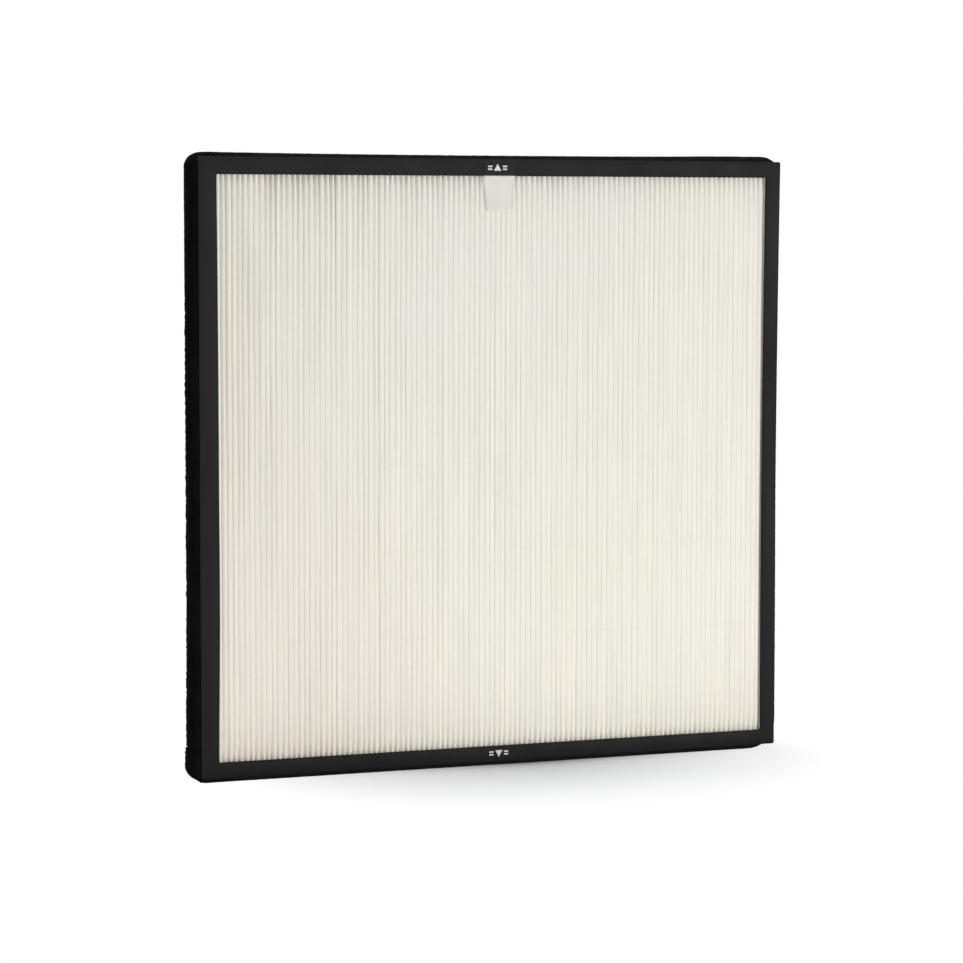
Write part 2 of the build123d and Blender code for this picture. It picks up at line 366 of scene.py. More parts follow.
def plastic_finish(name):
    """Matte black moulded plastic with a fine grain and faint handling marks."""
    finish = Finish(name, grey(PLASTIC_LEVEL), 0.55, Specular_IOR_Level=0.08)
    cloud = finish.noise((9, 9, 9), detail=3.0)
    dark, light = grey(PLASTIC_LEVEL * 0.9, 0.04), grey(PLASTIC_LEVEL * 1.12, 0.03)
    finish.set_colour(finish.noise_ramp(cloud, dark, light).outputs["Color"])
    smear = finish.noise((60, 60, 14), detail=4.0, roughness=0.6)
    gloss = finish.levels(smear, "Fac", *NOISE_SPAN, 0.48, 0.62)
    finish.join(gloss, "Result", finish.shader, "Roughness")
    grain = finish.noise((2600, 2600, 2600), detail=1.0)
    finish.add_bump(grain, "Fac", 0.03 * MM, 0.5)
    waves = finish.noise((35, 35, 35), detail=1.0)
    finish.add_bump(waves, "Fac", 0.4 * MM, 0.35)
    return finish.material


def foam_finish():
    """Black open-cell foam; painted shade makes its left side blackest about a third of the way
    back, with painted highlights towards that side's front and rear.
    """
    finish = Finish("gasket_foam", grey(0.004), 0.9, Specular_IOR_Level=0.0)
    patch = finish.noise((70, 70, 70), detail=4.0)
    tint = finish.noise_ramp(patch, grey(0.009, 0.02), grey(0.015, 0.02))
    parts = finish.place_parts()
    depth = finish.levels(parts, "Y", GASKET_LOW.y, GASKET_HIGH.y, 0, 1)
    # Painted shade on the left side, with painted highlights at its front and rear shoulders
    left = finish.ramp(depth, "Result", [(at, grey(level)) for at, level in FOAM_LEFT_SHADE_BY_DEPTH])
    rest = finish.ramp(depth, "Result", [(at, grey(level)) for at, level in FOAM_REST_BY_DEPTH])
    rightward = finish.levels(parts, "X", FOAM_LEFT_UNTIL, FOAM_REST_FROM, 0, 1)
    shade = finish.mixed(
        rightward.outputs["Result"], left.outputs["Color"], rest.outputs["Color"])
    finish.set_colour(finish.multiplied(tint.outputs["Color"], shade))
    cells = finish.add("ShaderNodeTexVoronoi")
    cells.inputs["Scale"].default_value = FOAM_CELLS_PER_METRE
    finish.join(finish.coordinates, "Object", cells, "Vector")
    finish.add_bump(cells, "Distance", 0.25 * MM, 0.8)
    fuzz = finish.noise((700, 700, 700), detail=3.0)
    finish.add_bump(fuzz, "Fac", 0.4 * MM, 0.5)
    return finish.material


def sheet_finish():
    """Warm white filter sheet: fibres, clouds and upright streaks, with painted shade that darkens
    it upwards and leftwards.
    """
    finish = Finish("filter_sheet", (0.85, 0.82, 0.73), 0.85, Specular_IOR_Level=0.15)
    cloud = finish.noise((5, 1, 5), detail=2.0)
    tone = finish.noise_ramp(cloud, (0.921, 0.883, 0.791), (0.927, 0.878, 0.777), (0.35, 0.65))
    streak = finish.noise((260, 1, 9), detail=3.0)
    streaked = finish.noise_ramp(streak, (0.92, 0.934, 0.94), WHITE)
    toned = finish.multiplied(tone.outputs["Color"], streaked.outputs["Color"])
    fibre = finish.noise((2200, 2200, 420), detail=4.0, roughness=0.7)
    speckled = finish.noise_ramp(fibre, (0.95, 0.95, 0.95), WHITE)
    fibrous = finish.multiplied(toned, speckled.outputs["Color"])
    parts = finish.place_parts()
    # Painted shade: the sheet darker upwards and towards the left, for how the light falls on it
    shade_by_height = finish.ramp(parts, "Z", SHEET_SHADE_BY_HEIGHT)
    slanted = finish.add("ShaderNodeMath", operation="MULTIPLY_ADD")
    finish.join(parts, "Z", slanted, 0)
    slanted.inputs[1].default_value = SHEET_SLANT
    finish.join(parts, "X", slanted, 2)
    rightward = finish.levels(slanted, "Value", SHEET_LEFT_FROM, SHEET_LEFT_UNTIL, 0, 1)
    sideways = finish.ramp(rightward, "Result", ((0.0, SHEET_LEFT_SHADE), (1.0, WHITE)))
    painted_shade = finish.multiplied(shade_by_height.outputs["Color"], sideways.outputs["Color"])
    finish.set_colour(finish.multiplied(fibrous, painted_shade))
    finish.add_bump(fibre, "Fac", 0.05 * MM, 0.6)
    return finish.material


def felt_finish():
    """White needled felt."""
    finish = Finish("edge_felt", (0.78, 0.77, 0.73), 0.95, Specular_IOR_Level=0.1)
    fibre = finish.noise((900, 900, 900), detail=5.0, roughness=0.7)
    tint = finish.noise_ramp(fibre, (0.68, 0.67, 0.63), (0.82, 0.81, 0.77))
    finish.set_colour(tint.outputs["Color"])
    finish.add_bump(fibre, "Fac", 0.2 * MM, 0.7)
    return finish.material


def glue_finish():
    """Hot-melt glue, milky and nearly matte."""
    finish = Finish("glue", (0.84, 0.81, 0.73), 0.6, Specular_IOR_Level=0.15)
    milk = finish.noise((120, 120, 120), detail=3.0)
    tint = finish.noise_ramp(milk, (0.72, 0.69, 0.61), (0.76, 0.73, 0.65))
    finish.set_colour(tint.outputs["Color"])
    finish.add_bump(milk, "Fac", 0.1 * MM, 0.5)
    return finish.material


def film_finish():
    """Frosted tape: clear where it sticks to the border and milky where it hangs free."""
    finish = Finish("clear_film", (0.84, 0.82, 0.78), 0.5, Specular_IOR_Level=0.3)
    parts = finish.place_parts()
    cover = finish.levels(parts, "Z", TOP_EDGE - FILM_EDGE_FADE, TOP_EDGE + FILM_EDGE_FADE,
                          FILM_COVER_FREE, FILM_COVER_STUCK)
    finish.join(cover, "Result", finish.shader, "Alpha")
    haze = finish.noise((150, 150, 90), detail=3.0)
    tint = finish.noise_ramp(haze, (0.84, 0.81, 0.735), (0.9, 0.87, 0.79))
    finish.set_colour(tint.outputs["Color"])
    finish.add_bump(haze, "Fac", 0.15 * MM, 0.4)
    return finish.material


def ink_finish():
    """White screen-printed ink, a little uneven."""
    finish = Finish("print_ink", (0.6, 0.6, 0.59), 0.6, Specular_IOR_Level=0.3)
    wear = finish.noise((1500, 1500, 1500), detail=3.0)
    tint = finish.noise_ramp(wear, (0.5, 0.5, 0.49), (0.66, 0.66, 0.65), (0.25, 0.6))
    finish.set_colour(tint.outputs["Color"])
    return finish.material


class Pleats:
    """Where each fold of the sheet lies, at every height.

    Even folds are crests at the front and odd folds are crests at the rear. A crest reaches from
    one opposite fold to the next, less a gap that is nearly closed between the sheet's ends and
    opens towards them. Spacings of the random curves count rows of the table or folds.
    """

    TABLE_ROWS = 60
    WANDER = 0.13 * MM
    SHARED_SPACING, OWN_SPACING, DRIFT_SPACING = 12, 9, 30
    STEADY_FOLDS = 8
    TIP_UNEVEN = 0.07 * MM
    TIP_SPACING = 8
    TIP_MARGIN = 0.1 * MM
    LEAN = 0.12
    CLOSED_GAP = 0.015 * MM
    OPEN_GAP = 0.6 * MM
    OPEN_REACH = 4.5 * MM
    SHALLOW = 0.28 * MM
    DEEPER = 3.0 * MM
    DEEP_REACH = 6.0 * MM
    DEPTH_SHARES = (0.6, 1.4)
    PATCHES = (18, 9)
    PATCH_SPREAD = 0.42
    PATCH_LIMITS = (0.3, 1.8)
    LEFT_RELIEF = 1.7
    RIGHT_RELIEF = 0.15
    LOWER_RELIEF = 0.8
    UPPER_GAIN = 1.05
    AT_BORDER = 0.07
    AT_SIDES = 0.26
    SIDE_REACH = 4
    ROUND_POWER = 1.5
    SHARP_POWER = 1.2

    def __init__(self):
        rows, count = self.TABLE_ROWS, 2 * PLEAT_COUNT - 1
        self.count = count
        self.table_z = np.linspace(SHEET_LOW.z, SHEET_HIGH.z, rows)
        shared = smooth_noise(rows, self.SHARED_SPACING, self.WANDER)
        drift = smooth_noise(count, self.DRIFT_SPACING, self.WANDER)
        sideways = [smooth_noise(rows, self.OWN_SPACING, self.WANDER) + shared + drift[k]
                    for k in range(count)]
        edges = np.minimum(np.arange(count), np.arange(count)[::-1]) / self.STEADY_FOLDS
        self.sideways = np.array(sideways) * np.minimum(1, edges)[:, None]
        self.inward = np.array([self.random_inset(rows) for k in range(count)])
        self.depth_share = random.uniform(*self.DEPTH_SHARES, count)
        self.relief = self.random_relief(rows, count)
        self.lean = random.normal(0, self.LEAN, count)

    def random_inset(self, rows):
        """How far one fold's tip lies inside the sheet's box, at each row of the table."""
        own = abs(random.normal(0, self.TIP_UNEVEN))
        return own + np.abs(smooth_noise(rows, self.TIP_SPACING, self.TIP_UNEVEN))

    def random_relief(self, rows, count):
        """How strongly each fold's crest is shaped at each row: in patches, and less rightwards."""
        patches = random.normal(1, self.PATCH_SPREAD, self.PATCHES)
        across, up = self.PATCHES
        patch_z = np.linspace(SHEET_LOW.z, SHEET_HIGH.z, up)
        columns = np.array([np.interp(self.table_z, patch_z, column) for column in patches])
        at = np.linspace(0, across - 1, count)
        smooth = [np.interp(at, np.arange(across), columns[:, i]) for i in range(rows)]
        fall = np.linspace(self.LEFT_RELIEF, self.RIGHT_RELIEF, count)
        return np.clip(np.array(smooth).T, *self.PATCH_LIMITS) * fall[:, None]

    def fold_x(self, fold, z):
        wander = np.interp(z, self.table_z, self.sideways[fold])
        return (fold - (PLEAT_COUNT - 1)) * PLEAT_PITCH / 2 + wander

    def from_end(self, z):
        return min(z - SHEET_LOW.z, SHEET_HIGH.z - z)

    def gap(self, z):
        return self.CLOSED_GAP + self.OPEN_GAP * math.exp(-self.from_end(z) / self.OPEN_REACH)

    def opened(self, z):
        """How far the pleats have opened: one at the sheet's ends, nearly none in the middle."""
        return math.exp(-self.from_end(z) / self.DEEP_REACH)

    def depth(self, fold, z):
        """How far a crest's shoulders lie behind its tip."""
        share = self.depth_share[fold] * np.interp(z, self.table_z, self.relief[fold])
        above = max(0.0, (z - MIDDLE_Z) / (SHEET_HIGH.z - MIDDLE_Z))
        share *= self.LOWER_RELIEF + self.UPPER_GAIN * above
        from_side = min(fold, self.count - 1 - fold)
        at_side = self.AT_BORDER
        if from_side:
            at_side = self.AT_SIDES * math.exp(-from_side / self.SIDE_REACH)
        return self.SHALLOW * share + self.DEEPER * max(self.opened(z), at_side)

    def span(self, fold, z):
        """Left end, tip and right end of a crest."""
        half_gap = self.gap(z) / 2
        left = SHEET_LOW.x if fold == 0 else self.fold_x(fold - 1, z) + half_gap
        right = SHEET_HIGH.x if fold == self.count - 1 else self.fold_x(fold + 1, z) - half_gap
        if fold == 0:
            right = min(right, 2 * self.fold_x(0, z) - left)
        if fold == self.count - 1:
            left = max(left, 2 * self.fold_x(fold, z) - right)
        middle = (left + right) / 2
        return left, middle + self.lean[fold] * (right - left) / 2, right

    def tip_y(self, fold, z):
        inset = np.interp(z, self.table_z, self.inward[fold])
        return SHEET_LOW.y + inset if fold % 2 == 0 else SHEET_HIGH.y - inset

    def crest(self, fold, z, steps, inner):
        """Points of one crest from left to right, on its outer or its inner surface."""
        left, tip, right = self.span(fold, z)
        towards = 1 if fold % 2 == 0 else -1
        thick = SHEET_THICKNESS if inner else 0
        left, right = left + thick, right - thick
        tip = min(max(tip, left + self.TIP_MARGIN), right - self.TIP_MARGIN)
        top = self.tip_y(fold, z) + towards * thick
        depth = self.depth(fold, z)
        power = self.ROUND_POWER + (self.SHARP_POWER - self.ROUND_POWER) * self.opened(z)
        points = []
        for step in range(steps + 1):
            share = 2 * step / steps - 1
            reach = tip - left if share < 0 else right - tip
            points.append((tip + share * reach, top + towards * depth * abs(share) ** power))
        return points


def sheet_section(pleats, z, side):
    """One surface of the folded sheet at one height: side is 1 for the front, -1 for the rear."""
    points = []
    for fold in range(pleats.count):
        outer = (fold % 2 == 0) == (side > 0)
        points.extend(pleats.crest(fold, z, CREST_STEPS if outer else HOLLOW_STEPS, not outer))
    inset = 0 if side > 0 else SHEET_THICKNESS
    leg_end = SHEET_HIGH.y - OUTER_FOLD
    return [(SHEET_LOW.x + inset, leg_end)] + points + [(SHEET_HIGH.x - inset, leg_end)]


def make_sheet(pleats):
    """The pleated sheet as one mesh: front surface, rear surface and the narrow edges at its two
    sides.
    """
    near_ends = np.array(END_ROWS) * MM
    inside = np.linspace(
        SHEET_LOW.z + MIDDLE_ROWS_FROM, SHEET_HIGH.z - MIDDLE_ROWS_FROM, MIDDLE_ROWS)
    heights = np.concatenate(
        [SHEET_LOW.z + near_ends, inside, (SHEET_HIGH.z - near_ends)[::-1]])
    rows = len(heights)
    front = [sheet_section(pleats, z, 1) for z in heights]
    rear = [sheet_section(pleats, z, -1) for z in heights]
    front_count, rear_count = len(front[0]), len(rear[0])
    points = [(x, y, z) for z, section in zip(heights, front) for x, y in section]
    points += [(x, y, z) for z, section in zip(heights, rear) for x, y in section]
    start = rows * front_count
    faces = grid_faces(rows, front_count)
    faces += [tuple(start + i for i in reversed(face)) for face in grid_faces(rows, rear_count)]
    for i in range(rows - 1):
        for at, rear_at in ((0, 0), (front_count - 1, rear_count - 1)):
            a, b = i * front_count + at, (i + 1) * front_count + at
            c, d = start + i * rear_count + rear_at, start + (i + 1) * rear_count + rear_at
            faces.append((a, b, d, c) if at == 0 else (a, c, d, b))
    return new_object("pleated_sheet_folds", points, faces)


def tube_along(points, radius, sides):
    """Points and faces of a closed tube along a line that is nearly level."""
    points = np.asarray(points)
    along = np.gradient(points, axis=0)
    along /= np.linalg.norm(along, axis=1)[:, None]
    up = np.array([0.0, 0.0, 1.0])
    across = np.cross(along, up)
    rings = []
    for side in range(sides):
        angle = 2 * math.pi * side / sides
        rings.append(points + across * radius * math.cos(angle) + up * radius * math.sin(angle))
    grid = np.stack(rings, axis=1).reshape(-1, 3)
    faces = grid_faces(len(points), sides, closed_columns=True)
    faces.append(tuple(reversed(range(sides))))
    faces.append(tuple((len(points) - 1) * sides + i for i in range(sides)))
    return grid, faces


def make_strand(pleats, number, front):
    """One strand of glue that lies on the crests and dips a little between them."""
    low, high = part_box(f"{'front' if front else 'rear'}_glue_bead_{number}")
    z = (low.z + high.z) / 2
    line = []
    waver = smooth_noise(pleats.count, STRAND_WAVER_FOLDS, STRAND_WAVER)
    out = STRAND_RADIUS * STRAND_LIFT * (-1 if front else 1)
    for fold in range(0 if front else 1, pleats.count, 2):
        height = z + waver[fold]
        for x, y in pleats.crest(fold, height, STRAND_STEPS, inner=False):
            if not line or x > line[-1][0] + STRAND_LEAST_STEP:
                line.append((x, y + out, height))
    line = [point for point in line if low.x < point[0] < high.x]
    points, faces = tube_along(line, STRAND_RADIUS, STRAND_SIDES)
    return new_object(f"{'front' if front else 'rear'}_glue_strand_{number}", points, faces)


def foam_path():
    """The strip's outer line and its outward normals, from its joint up and all the way round."""
    left, right = GASKET_LOW.x, GASKET_HIGH.x
    bottom, top = GASKET_LOW.z, GASKET_HIGH.z
    stops = [(left, JOINT_HEIGHT + JOINT_HALF_GAP)]
    line, normals = [], []

    def straight(to):
        start, end = np.array(stops[-1]), np.array(to)
        length = np.linalg.norm(end - start)
        count = max(2, int(length / FOAM_STEP))
        way = (end - start) / length
        for step in range(count):
            line.append(start + (end - start) * step / count)
            normals.append((-way[1], way[0]))
        stops.append(to)

    def corner(centre, radius, first, last):
        count = max(6, int(radius * math.pi / 2 / FOAM_STEP))
        for step in range(count):
            angle = math.radians(first + (last - first) * step / count)
            normals.append((math.cos(angle), math.sin(angle)))
            line.append(np.array(centre) + radius * np.array(normals[-1]))
        angle = math.radians(last)
        stops.append((centre[0] + radius * math.cos(angle),
                      centre[1] + radius * math.sin(angle)))

    straight((left, top - CORNER_TOP_LEFT))
    corner((left + CORNER_TOP_LEFT, top - CORNER_TOP_LEFT), CORNER_TOP_LEFT, 180, 90)
    straight((right - CORNER_TOP_RIGHT, top))
    corner((right - CORNER_TOP_RIGHT, top - CORNER_TOP_RIGHT), CORNER_TOP_RIGHT, 90, 0)
    straight((right, bottom + CORNER_LOWER_RIGHT))
    corner((right - CORNER_LOWER_RIGHT, bottom + CORNER_LOWER_RIGHT), CORNER_LOWER_RIGHT, 0, -90)
    straight((left + CORNER_LOWER_LEFT, bottom))
    corner((left + CORNER_LOWER_LEFT, bottom + CORNER_LOWER_LEFT), CORNER_LOWER_LEFT, -90, -180)
    straight((left, JOINT_HEIGHT - JOINT_HALF_GAP))
    line.append(np.array(stops[-1]))
    normals.append((-1, 0))
    return np.array(line), np.array(normals)


def foam_section(front_round):
    """The strip's section from front to rear: how far out from its inner side, and its Y."""
    thickness = FOAM_THICKNESS
    front, rear = GASKET_LOW.y, GASKET_HIGH.y
    points = [(FOAM_INNER_MARGIN, front), (thickness - front_round - FOAM_FLAT_MARGIN, front)]
    for angle in np.radians(np.linspace(0, 90, 7)):
        out = thickness - front_round * (1 - math.sin(angle))
        points.append((out, front + front_round * (1 - math.cos(angle))))
    for share in FOAM_BELLY_SHARES:
        y = front + front_round + share * (rear - front - front_round - FOAM_REAR_ROUND)
        points.append((thickness + FOAM_BELLY * math.sin(math.pi * share), y))
    for angle in np.radians(np.linspace(90, 0, 5)):
        out = thickness - FOAM_REAR_ROUND * (1 - math.sin(angle))
        points.append((out, rear - FOAM_REAR_ROUND * (1 - math.cos(angle))))
    points.append((thickness - FOAM_REAR_ROUND - FOAM_FLAT_MARGIN, rear))
    points.append((FOAM_INNER_MARGIN, rear))
    return np.array(points)


def foam_bulge(x, z, normal_x, normal_z):
    """How far the strip stands out beyond its line, or sags under it along the top."""
    height = z / MM
    if normal_x < 0:
        low_left = math.exp(-((height - LOW_LEFT_HEIGHT) / LOW_LEFT_REACH) ** 2)
        sideways = BULGE_LEFT + BULGE_LOW_LEFT * low_left
        if z < JOINT_HEIGHT:
            sideways = BULGE_UNDER_JOINT
    else:
        dent = math.exp(-((height - DENT_HEIGHT) / DENT_REACH) ** 2)
        sideways = BULGE_RIGHT - DENT_RIGHT * dent
    sag = 0.0
    if normal_z > 0:
        left_of = x < SAG_CENTRE
        share = abs(x - SAG_CENTRE) / (SAG_LEFT if left_of else SAG_RIGHT)
        power = SAG_LEFT_POWER if left_of else SAG_RIGHT_POWER
        sag = -SAG_DEPTH * max(0, 1 - share ** power)
    return (sideways * normal_x * normal_x + sag * normal_z * normal_z) * MM


def make_foam():
    """The foam strip, swept round the tray from one end of its joint to the other."""
    line, normals = foam_path()
    round_section = foam_section(FOAM_FRONT_ROUND)
    lower_section = foam_section(FOAM_LOWER_ROUND)
    rows, columns = len(line), len(round_section)
    bulge = np.array([foam_bulge(*p, *n) for p, n in zip(line, normals)])
    bulge = np.pad(bulge, BULGE_SMOOTHING // 2, mode="edge")
    bulge = np.convolve(bulge, np.ones(BULGE_SMOOTHING) / BULGE_SMOOTHING, mode="valid")
    rough = random.normal(0, 1, (rows, columns))
    rough = (rough + np.roll(rough, 1, 0) + np.roll(rough, 1, 1)) / ROUGH_SPREAD
    cut = (normals[:, 0] < -0.5) & (line[:, 1] < ROUGH_BELOW)
    amount = np.where(cut, ROUGH_CUT, ROUGH_MOULDED)
    points = []
    for i in range(rows):
        lower = max(0.0, -normals[i][1]) ** 2
        for j, (out, y) in enumerate(round_section * (1 - lower) + lower_section * lower):
            share = out / FOAM_THICKNESS
            push = bulge[i] * share + rough[i, j] * amount[i] * share
            if i == 0 and y > UPPER_END_NOTCH_FROM:
                push -= UPPER_END_NOTCH * share
            if i >= rows - LOWER_END_ROWS:
                push -= LOWER_END_INSET * share
            x, z = line[i] + normals[i] * (out - FOAM_THICKNESS + push)
            points.append((x, y, max(z, GASKET_LOW.z)))
    faces = grid_faces(rows, columns)
    for i in range(rows - 1):
        here, above = i * columns, (i + 1) * columns
        faces.append((here + columns - 1, here, above, above + columns - 1))
    faces.append(tuple(range(columns)))
    faces.append(tuple((rows - 1) * columns + j for j in reversed(range(columns))))
    return new_object("foam_strip", points, faces)


def bow(share, at_low, at_middle, at_high):
    """A curve through three values, at the lower end, in the middle and at the upper end."""
    low_part = at_low * (1 - share) * (1 - 2 * share)
    middle_part = at_middle * 4 * share * (1 - share)
    return low_part + middle_part + at_high * share * (2 * share - 1)


def inner_left_bow(share):
    """The bow of the opening's left side, with a small bump in its lower half."""
    bump = INNER_LEFT_BUMP * math.exp(-((share - BUMP_AT) / BUMP_REACH) ** 2)
    return bow(share, *INNER_LEFT_BOW) + bump


def face_loop(left, right, bottom, top, radius):
    """A closed rectangle with rounded corners; each side is a function of a share, 0 to 1."""
    line = []
    corners = [
        (left(0), bottom(0), 180, 270), (right(0), bottom(1), 270, 360),
        (right(1), top(1), 0, 90), (left(1), top(0), 90, 180),
    ]
    for number, (x, z, first, last) in enumerate(corners):
        centre_x = x + (radius if number in (0, 3) else -radius)
        centre_z = z + (radius if number in (0, 1) else -radius)
        for step in range(CORNER_POINTS):
            angle = math.radians(first + (last - first) * step / (CORNER_POINTS - 1))
            line.append((centre_x + radius * math.cos(angle), centre_z + radius * math.sin(angle)))
        for step in range(1, SIDE_POINTS):
            share = step / SIDE_POINTS
            if number == 0:
                line.append((left(0) + (right(0) - left(0)) * share, bottom(share)))
            elif number == 1:
                line.append((right(share), bottom(1) + (top(1) - bottom(1)) * share))
            elif number == 2:
                line.append((right(1) + (left(1) - right(1)) * share, top(1 - share)))
            else:
                line.append((left(1 - share), top(0) + (bottom(0) - top(0)) * share))
    return np.array(line)


def make_face():
    """The face frame: a flat ring with rounded edges, whose upright sides bow a little."""
    low, high, band = FACE_LOW, FACE_HIGH, FACE_BAND
    outer = face_loop(
        lambda s: low.x - OUTER_LEFT_SHIFT,
        lambda s: high.x + bow(s, *OUTER_RIGHT_BOW) * MM,
        lambda s: low.z,
        lambda s: high.z - OUTER_TOP_SLOPE * s * MM,
        FACE_CORNER)
    inner = face_loop(
        lambda s: low.x + band + inner_left_bow(s) * MM,
        lambda s: high.x - band + bow(s, *INNER_RIGHT_BOW) * MM,
        lambda s: LOWER_EDGE,
        lambda s: TOP_EDGE,
        INNER_CORNER)
    profile = [(0, high.y)]
    for angle in np.radians([0, 30, 60, 90]):
        profile.append((FACE_ROUND * (1 - math.cos(angle)),
                        low.y + FACE_ROUND * (1 - math.sin(angle))))
    profile.append((band * 0.5, low.y))
    for angle in np.radians([0, 45, 90]):
        profile.append((band - INNER_ROUND * (1 - math.sin(angle)),
                        low.y + INNER_ROUND * (1 - math.cos(angle))))
    profile.append((band, high.y))
    points = []
    for inset, y in profile:
        ring = outer + (inner - outer) * (inset / band)
        points.extend((x, y, z) for x, z in ring)
    faces = grid_faces(len(profile), len(outer), closed_rows=True, closed_columns=True)
    return new_object("face_ring", points, faces)


def film_row(z):
    """Left end, right end and Y of the film at one height."""
    if z > TOP_EDGE:
        return TAB_LOW.x + FILM_STUCK_SHIFT, TAB_HIGH.x + FILM_STUCK_SHIFT, TAB_LOW.y
    drop = max(0.0, TOP_EDGE - z)
    share = drop / FILM_HANG
    left = TAB_LOW.x + FILM_LEFT_SHIFT + FILM_LEFT_TAPER * share
    right = TAB_HIGH.x + FILM_RIGHT_SHIFT - FILM_RIGHT_TAPER * share
    settled = math.exp(-(drop / FILM_SETTLE) ** FILM_SETTLE_POWER)
    return left, right, FILM_END_Y + (TAB_LOW.y - FILM_END_Y) * settled


def make_film():
    """The tab of film: stuck on the border, then bent over its edge and lying on the crests."""
    above = np.linspace(TAB_HIGH.z, TOP_EDGE + FILM_STUCK_MARGIN, FILM_STUCK_ROWS)
    below = TOP_EDGE - np.array(FILM_HANGING_ROWS) * MM
    heights = list(above) + list(below)
    columns = FILM_COLUMNS
    points = []
    for layer in (0, 1):
        for z in heights:
            left, right, y = film_row(z)
            drop = max(0.0, TOP_EDGE - z)
            cut = max(0, drop - FILM_ROUND_FROM)
            nip = cut * cut / FILM_ROUND_REACH
            for j in range(columns):
                x = left + nip + (right - left - 2 * nip) * j / (columns - 1)
                ripple = RIPPLE_HEIGHT * math.sin(j * RIPPLE_ACROSS + drop / RIPPLE_DOWN)
                ripple *= min(1, drop / RIPPLE_FADE)
                points.append((x, y + ripple + layer * FILM_THICKNESS, z))
    rows = len(heights)
    size = rows * columns
    faces = [tuple(reversed(face)) for face in grid_faces(rows, columns)]
    faces += [tuple(size + i for i in face) for face in grid_faces(rows, columns)]
    rim = [j for j in range(columns)] + [i * columns + columns - 1 for i in range(1, rows)]
    rim += [(rows - 1) * columns + j for j in reversed(range(columns - 1))]
    rim += [i * columns for i in reversed(range(1, rows - 1))]
    for a, b in zip(rim, rim[1:] + rim[:1]):
        faces.append((a, b, size + b, size + a))
    return new_object("film_tab", points, faces)


def mark_shapes():
    """A generic direction mark: a triangle with a pair of short bars at each side."""
    half = MARK_HEIGHT / 2
    shapes = [[(-MARK_HALF_WIDTH, -half), (MARK_HALF_WIDTH, -half), (0, half)]]
    for side in (-1, 1):
        for level in BAR_LEVELS:
            near, far = side * BAR_NEAR, side * BAR_FAR
            under, over = level - BAR_HALF_HEIGHT, level + BAR_HALF_HEIGHT
            shapes.append([(near, under), (far, under), (far, over), (near, over)])
    return shapes


def make_mark(name, x, z, up):
    """One mark, raised by the ink's thickness; up is -1 for a mark that points down."""
    points, faces = [], []
    for shape in mark_shapes():
        after = shape[1:] + shape[:1]
        if sum(a[0] * b[1] - b[0] * a[1] for a, b in zip(shape, after)) < 0:
            shape = shape[::-1]
        start, count = len(points), len(shape)
        for y in (FACE_LOW.y - INK_THICKNESS, FACE_LOW.y + INK_SINK):
            points.extend((x + up * px, y, MIDDLE_Z + z + up * pz) for px, pz in shape)
        faces.append(tuple(start + i for i in range(count)))
        faces.append(tuple(start + count + i for i in reversed(range(count))))
        for i in range(count):
            j = (i + 1) % count
            faces.append((start + j, start + i, start + count + i, start + count + j))
    return new_object(name, points, faces, smooth=False)


def place(piece, finish, slot, *nodes):
    """Gives a piece its material and body, and hides the nodes that it stands for. The slot is not
    used.
    """
    piece.data.materials.append(finish)
    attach(piece, "root")
    if nodes:
        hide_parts(*nodes)


def make_camera():
    """Camera at the photograph's place and angle."""
    data = bpy.data.cameras.new("camera")
    data.sensor_width = CAMERA_SENSOR
    data.lens = CAMERA_LENS
    data.clip_start = CAMERA_NEAR
    data.clip_end = CAMERA_FAR
    camera = bpy.data.objects.new("camera", data)
    turn = Matrix.Rotation(-CAMERA_YAW, 4, "Z")
    turn = turn @ Matrix.Rotation(math.pi / 2 - CAMERA_PITCH, 4, "X")
    turn = turn @ Matrix.Rotation(CAMERA_ROLL, 4, "Z")
    camera.matrix_world = Matrix.Translation(CAMERA_PLACE) @ turn
    bpy.context.scene.collection.objects.link(camera)
    bpy.context.scene.camera = camera


def make_lamp(name, spot, target, size, power):
    """A square area lamp that faces a point."""
    data = bpy.data.lights.new(name, "AREA")
    data.size = size
    data.energy = power
    lamp = bpy.data.objects.new(name, data)
    lamp.location = spot
    lamp.rotation_euler = (Vector(target) - Vector(spot)).to_track_quat("-Z", "Y").to_euler()
    bpy.context.scene.collection.objects.link(lamp)


def link(tree, source, output, target, entry):
    tree.links.new(source.outputs[output], target.inputs[entry])


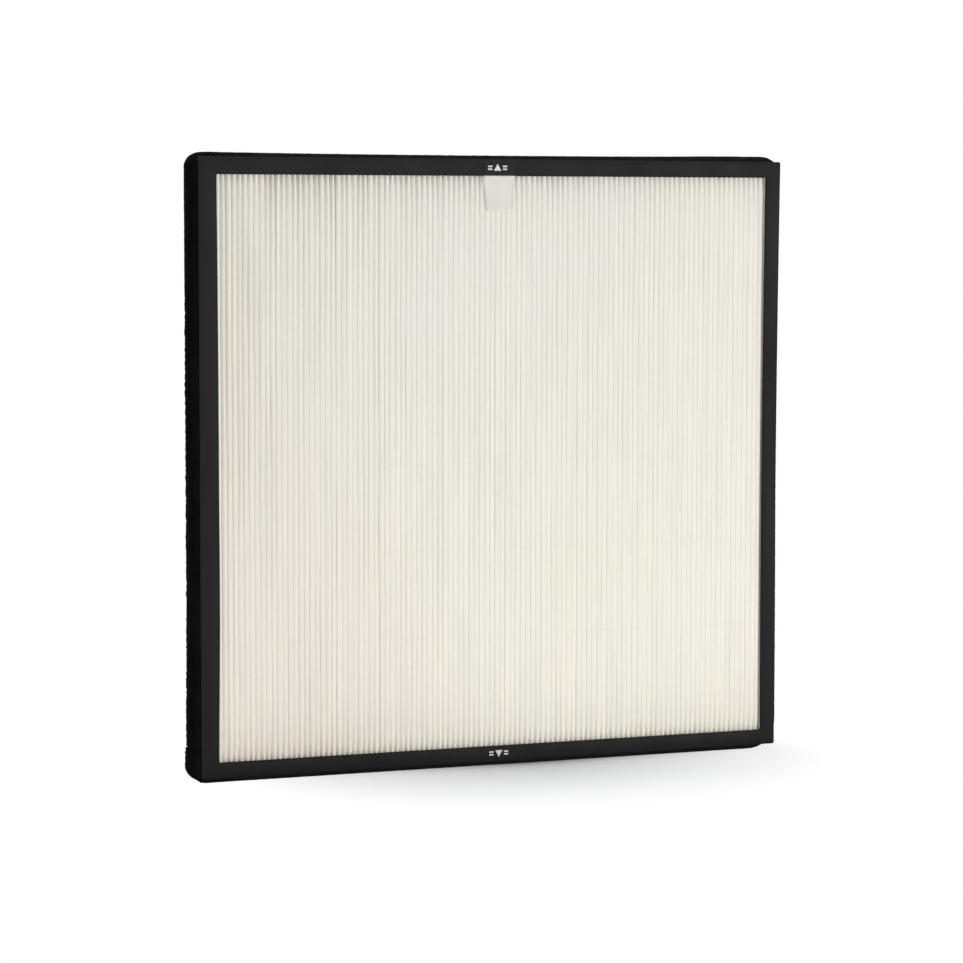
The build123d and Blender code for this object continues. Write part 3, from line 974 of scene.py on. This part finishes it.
def make_floor():
    """White floor that takes the shadow; further off the camera sees plain white."""
    reach = FLOOR_REACH
    points = [(-reach, -reach, 0), (reach, -reach, 0), (reach, reach, 0), (-reach, reach, 0)]
    floor = new_object("floor", points, [(0, 1, 2, 3)], smooth=False)
    material = bpy.data.materials.new("floor")
    material.use_nodes = True
    tree = material.node_tree
    tree.nodes.clear()
    add = tree.nodes.new
    output = add("ShaderNodeOutputMaterial")
    diffuse = add("ShaderNodeBsdfDiffuse")
    diffuse.inputs["Color"].default_value = FLOOR_COLOUR
    glow = add("ShaderNodeEmission")
    rays = add("ShaderNodeLightPath")
    lift = add("ShaderNodeMath")
    lift.operation = "MULTIPLY"
    lift.inputs[1].default_value = FLOOR_GLOW
    link(tree, rays, "Is Camera Ray", lift, 0)
    link(tree, lift, 0, glow, "Strength")
    near = add("ShaderNodeAddShader")
    link(tree, diffuse, 0, near, 0)
    link(tree, glow, 0, near, 1)
    far = add("ShaderNodeEmission")
    coordinates = add("ShaderNodeTexCoord")
    mapping = add("ShaderNodeMapping")
    mapping.inputs["Scale"].default_value = (1 / SHADOW_REACH_X, 1 / SHADOW_REACH_Y, 0)
    mapping.inputs["Location"].default_value = (-SHADOW_CENTRE_X / SHADOW_REACH_X, 0, 0)
    link(tree, coordinates, "Object", mapping, "Vector")
    distance = add("ShaderNodeVectorMath")
    distance.operation = "LENGTH"
    link(tree, mapping, "Vector", distance, 0)
    fade = add("ShaderNodeMapRange")
    fade.inputs["From Min"].default_value = SHADOW_FADE_FROM
    fade.inputs["From Max"].default_value = 1.0
    link(tree, distance, "Value", fade, "Value")
    seen = add("ShaderNodeMath")
    seen.operation = "MULTIPLY"
    link(tree, fade, "Result", seen, 0)
    link(tree, rays, "Is Camera Ray", seen, 1)
    mix = add("ShaderNodeMixShader")
    link(tree, seen, 0, mix, 0)
    link(tree, near, 0, mix, 1)
    link(tree, far, 0, mix, 2)
    link(tree, mix, 0, output, "Surface")
    floor.data.materials.append(material)


def make_world():
    """White for camera, glossy and transmission rays; a softer glow as light on the object."""
    world = bpy.data.worlds.new("world")
    bpy.context.scene.world = world
    world.use_nodes = True
    tree = world.node_tree
    tree.nodes.clear()
    add = tree.nodes.new
    output = add("ShaderNodeOutputWorld")
    lit = add("ShaderNodeBackground")
    seen = add("ShaderNodeBackground")
    for node, strength in ((lit, WORLD_LIGHT), (seen, 1.0)):
        node.inputs["Color"].default_value = (1, 1, 1, 1)
        node.inputs["Strength"].default_value = strength
    rays = add("ShaderNodeLightPath")
    camera_or_gloss = add("ShaderNodeMath")
    camera_or_gloss.operation = "MAXIMUM"
    link(tree, rays, "Is Camera Ray", camera_or_gloss, 0)
    link(tree, rays, "Is Glossy Ray", camera_or_gloss, 1)
    any_of_three = add("ShaderNodeMath")
    any_of_three.operation = "MAXIMUM"
    link(tree, camera_or_gloss, 0, any_of_three, 0)
    link(tree, rays, "Is Transmission Ray", any_of_three, 1)
    mix = add("ShaderNodeMixShader")
    link(tree, any_of_three, 0, mix, 0)
    link(tree, lit, 0, mix, 1)
    link(tree, seen, 0, mix, 2)
    link(tree, mix, 0, output, "Surface")


def make_surroundings():
    """Floor, white world and soft lamps."""
    make_floor()
    make_world()
    for lamp in LAMPS:
        make_lamp(*lamp)
    bpy.context.scene.view_settings.view_transform = "Standard"


def main():
    make_camera()
    finishes = {
        "frame_plastic": plastic_finish("frame_plastic"),
        "tray_plastic": plastic_finish("tray_plastic"),
        "gasket_foam": foam_finish(),
        "filter_sheet": sheet_finish(),
        "edge_felt": felt_finish(),
        "clear_film": film_finish(),
        "glue": glue_finish(),
    }
    slot_of = {part["node"]: part["material_slot"] for part in frame["record"]["subparts"]}
    for node, piece in frame["nodes"].items():
        piece.data.materials.clear()
        piece.data.materials.append(finishes[slot_of[node]])
    pleats = Pleats()
    place(make_sheet(pleats), finishes["filter_sheet"], "filter_sheet", "pleated_sheet")
    for number in range(1, BEAD_ROWS + 1):
        for front in (True, False):
            node = f"{'front' if front else 'rear'}_glue_bead_{number}"
            place(make_strand(pleats, number, front), finishes["glue"], "glue", node)
    foam = make_foam()
    place(foam, finishes["gasket_foam"], "gasket_foam", "foam_gasket")
    place(make_face(), finishes["frame_plastic"], "frame_plastic", "face_frame")
    place(make_film(), finishes["clear_film"], "clear_film", "pull_tab")
    ink = ink_finish()
    for number, (x, z, up) in enumerate(MARK_CENTRES, 1):
        place(make_mark(f"direction_mark_{number}", x, z, up), ink, "frame_plastic")
    make_surroundings()


main()
